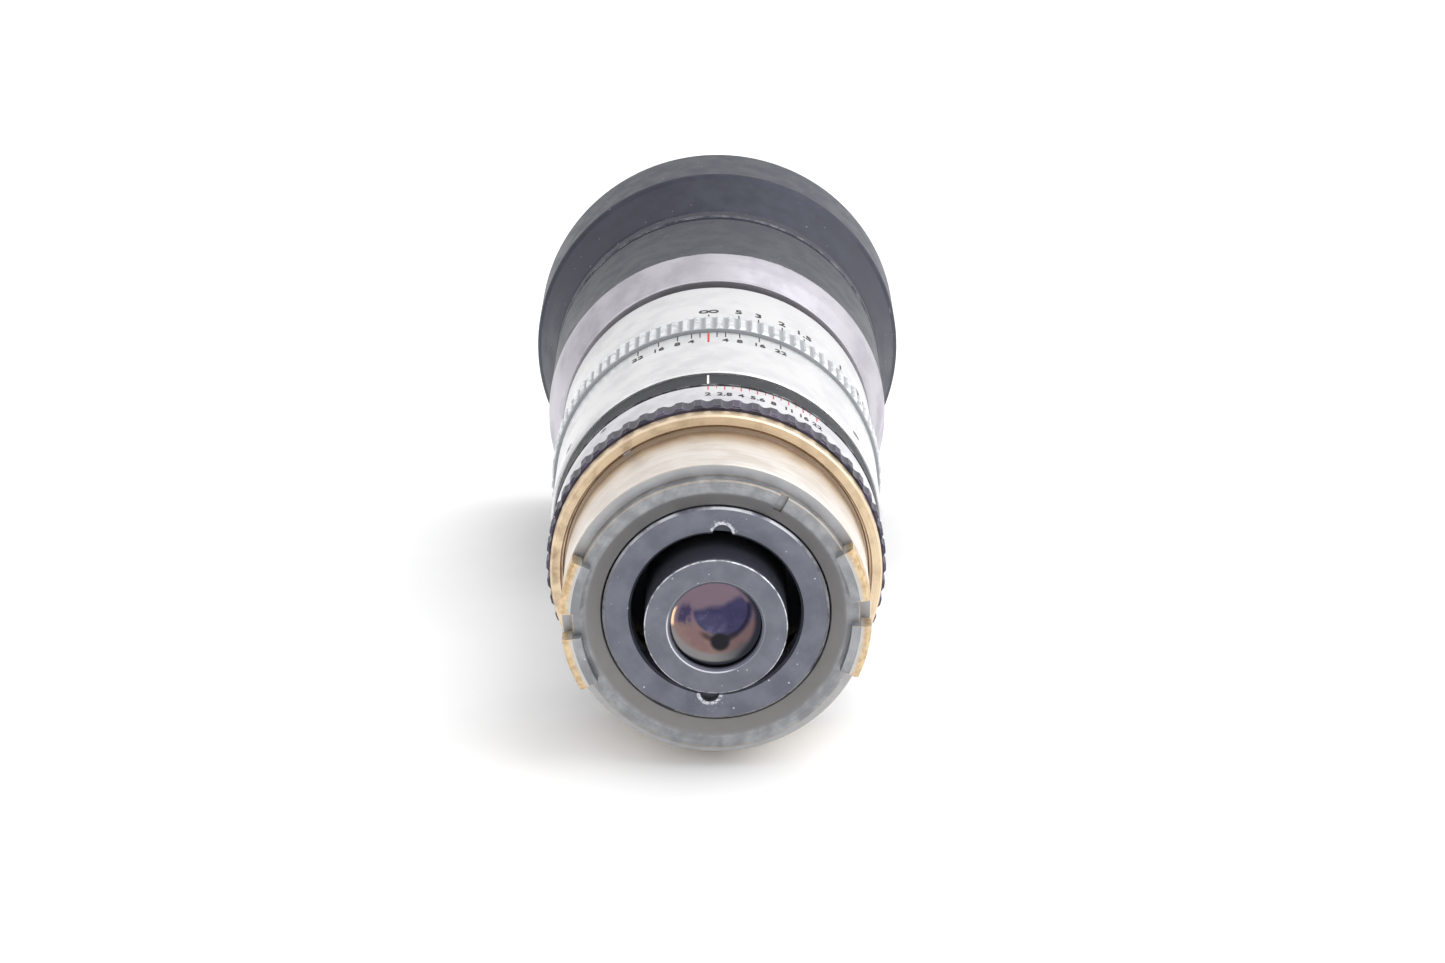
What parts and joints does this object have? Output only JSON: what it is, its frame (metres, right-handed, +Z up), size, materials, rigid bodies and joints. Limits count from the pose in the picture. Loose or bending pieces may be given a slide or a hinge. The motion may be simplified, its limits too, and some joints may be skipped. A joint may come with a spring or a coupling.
{
  "type": "cine camera objective",
  "caption": "Vintage retrofocus wide-angle cine objective with a lugged bayonet tail, aperture and focus rings, bladed iris and flared front hood.",
  "frame": {"origin": "point where the optical axis crosses the seat face of the mount flange", "axes": "+Y along the optical axis towards the front glass, +Z up with the lug pairs at the left and right"},
  "size_m": [0.0586, 0.1325, 0.0586],
  "materials": {
    "nickel_brass": "satin nickel over brass, worn at the edges",
    "worn_brass": "satin, tarnished and rubbed",
    "steel": "turned",
    "black_anodised": "black anodised, semi-gloss",
    "body_aluminium": "turned",
    "satin_chrome": "satin chrome plated brass",
    "carriage_black": "black anodised, matte",
    "iris_brass": "turned and oiled",
    "blade_steel": "blued, dry lubricated",
    "hood_black": "satin black enamel over brass",
    "cell_black": "matte anti-reflection black",
    "coated_glass": "polished, violet and amber coating",
    "clear_glass": "polished"
  },
  "bodies": {
    "mount_body": {"tail_tube": "nickel_brass", "mount_flange": "worn_brass", "flange_dowel": "steel", "tail_retaining_ring": "black_anodised", "body_sleeve": "body_aluminium", "guide_key": "steel", "key_screws": "steel", "index_ring": "black_anodised", "main_barrel": "satin_chrome", "barrel_screws": "steel", "focus_stop_pin": "steel", "focus_retaining_ring": "body_aluminium"},
    "aperture_ring": {"aperture_grip_ring": "black_anodised", "aperture_scale_ring": "satin_chrome", "aperture_ring_screws": "steel", "aperture_drive_pin": "steel"},
    "focus_ring_body": {"focus_ring": "satin_chrome", "focus_grip_ring": "satin_chrome"},
    "iris_drive": {"iris_drive_ring": "iris_brass", "iris_link_sleeve": "iris_brass"},
    "blade_1": {"iris_blade_1": "blade_steel"},
    "blade_2": {"iris_blade_2": "blade_steel"},
    "blade_3": {"iris_blade_3": "blade_steel"},
    "blade_4": {"iris_blade_4": "blade_steel"},
    "blade_5": {"iris_blade_5": "blade_steel"},
    "blade_6": {"iris_blade_6": "blade_steel"},
    "blade_7": {"iris_blade_7": "blade_steel"},
    "blade_8": {"iris_blade_8": "blade_steel"},
    "optical_carriage": {"carriage_tube": "carriage_black", "fourth_glass": "clear_glass", "front_adapter": "satin_chrome", "front_barrel": "hood_black", "front_barrel_screws": "steel", "front_cell": "carriage_black", "front_cell_ring": "cell_black", "front_cell_spacer": "cell_black", "front_glass": "coated_glass", "front_hood": "hood_black", "front_retaining_ring": "cell_black", "front_spacer": "cell_black", "iris_housing": "carriage_black", "middle_cell": "carriage_black", "middle_crown_glass": "clear_glass", "middle_flint_glass": "clear_glass", "middle_front_glass": "clear_glass", "middle_glass_ring": "cell_black", "middle_rear_glass": "clear_glass", "middle_spacer_front": "cell_black", "middle_spacer_rear": "cell_black", "rear_cell": "black_anodised", "rear_cell_screws": "steel", "rear_crown_glass": "clear_glass", "rear_flint_glass": "clear_glass", "rear_glass": "coated_glass", "rear_glass_ring": "cell_black", "rear_inner_glass": "clear_glass", "rear_spacer_inner": "cell_black", "rear_spacer_outer": "cell_black", "second_glass": "clear_glass", "third_glass": "clear_glass"}
  },
  "joints": [
    {"name": "aperture_turn", "type": "hinge", "parent": "mount_body", "child": "aperture_ring", "pos_m": [0, 0.0085, 0], "axis": [0, -1, 0], "range_deg": [0, 40]},
    {"name": "focus_turn", "type": "hinge", "parent": "mount_body", "child": "focus_ring_body", "pos_m": [0, 0.045, 0], "axis": [0, -1, 0], "range_deg": [0, 216]},
    {"name": "carriage_slide", "type": "slide", "parent": "mount_body", "child": "optical_carriage", "axis": [0, 1, 0], "range_m": [0, 0.0006]},
    {"name": "iris_drive_turn", "type": "hinge", "parent": "optical_carriage", "child": "iris_drive", "pos_m": [0, 0.0156, 0], "axis": [0, -1, 0], "range_deg": [0, 40]},
    {"name": "blade_1_swing", "type": "hinge", "parent": "optical_carriage", "child": "blade_1", "pos_m": [0.0134, 0.0182, 0], "axis": [0, -1, 0], "range_deg": [0, 31]},
    {"name": "blade_2_swing", "type": "hinge", "parent": "optical_carriage", "child": "blade_2", "pos_m": [0.00948, 0.0182, 0.00948], "axis": [0, -1, 0], "range_deg": [0, 31]},
    {"name": "blade_3_swing", "type": "hinge", "parent": "optical_carriage", "child": "blade_3", "pos_m": [0, 0.0182, 0.0134], "axis": [0, -1, 0], "range_deg": [0, 31]},
    {"name": "blade_4_swing", "type": "hinge", "parent": "optical_carriage", "child": "blade_4", "pos_m": [-0.00948, 0.0182, 0.00948], "axis": [0, -1, 0], "range_deg": [0, 31]},
    {"name": "blade_5_swing", "type": "hinge", "parent": "optical_carriage", "child": "blade_5", "pos_m": [-0.0134, 0.0182, 0], "axis": [0, -1, 0], "range_deg": [0, 31]},
    {"name": "blade_6_swing", "type": "hinge", "parent": "optical_carriage", "child": "blade_6", "pos_m": [-0.00948, 0.0182, -0.00948], "axis": [0, -1, 0], "range_deg": [0, 31]},
    {"name": "blade_7_swing", "type": "hinge", "parent": "optical_carriage", "child": "blade_7", "pos_m": [0, 0.0182, -0.0134], "axis": [0, -1, 0], "range_deg": [0, 31]},
    {"name": "blade_8_swing", "type": "hinge", "parent": "optical_carriage", "child": "blade_8", "pos_m": [0.00948, 0.0182, -0.00948], "axis": [0, -1, 0], "range_deg": [0, 31]}
  ],
  "couplings": [
    {"joint": "focus_turn", "follows": "carriage_slide", "rad_per_m": 6283.2},
    {"joint": "iris_drive_turn", "follows": "aperture_turn", "ratio": 1},
    {"joint": "blade_1_swing", "follows": "aperture_turn", "ratio": 0.775},
    {"joint": "blade_2_swing", "follows": "aperture_turn", "ratio": 0.775},
    {"joint": "blade_3_swing", "follows": "aperture_turn", "ratio": 0.775},
    {"joint": "blade_4_swing", "follows": "aperture_turn", "ratio": 0.775},
    {"joint": "blade_5_swing", "follows": "aperture_turn", "ratio": 0.775},
    {"joint": "blade_6_swing", "follows": "aperture_turn", "ratio": 0.775},
    {"joint": "blade_7_swing", "follows": "aperture_turn", "ratio": 0.775},
    {"joint": "blade_8_swing", "follows": "aperture_turn", "ratio": 0.775}
  ]
}
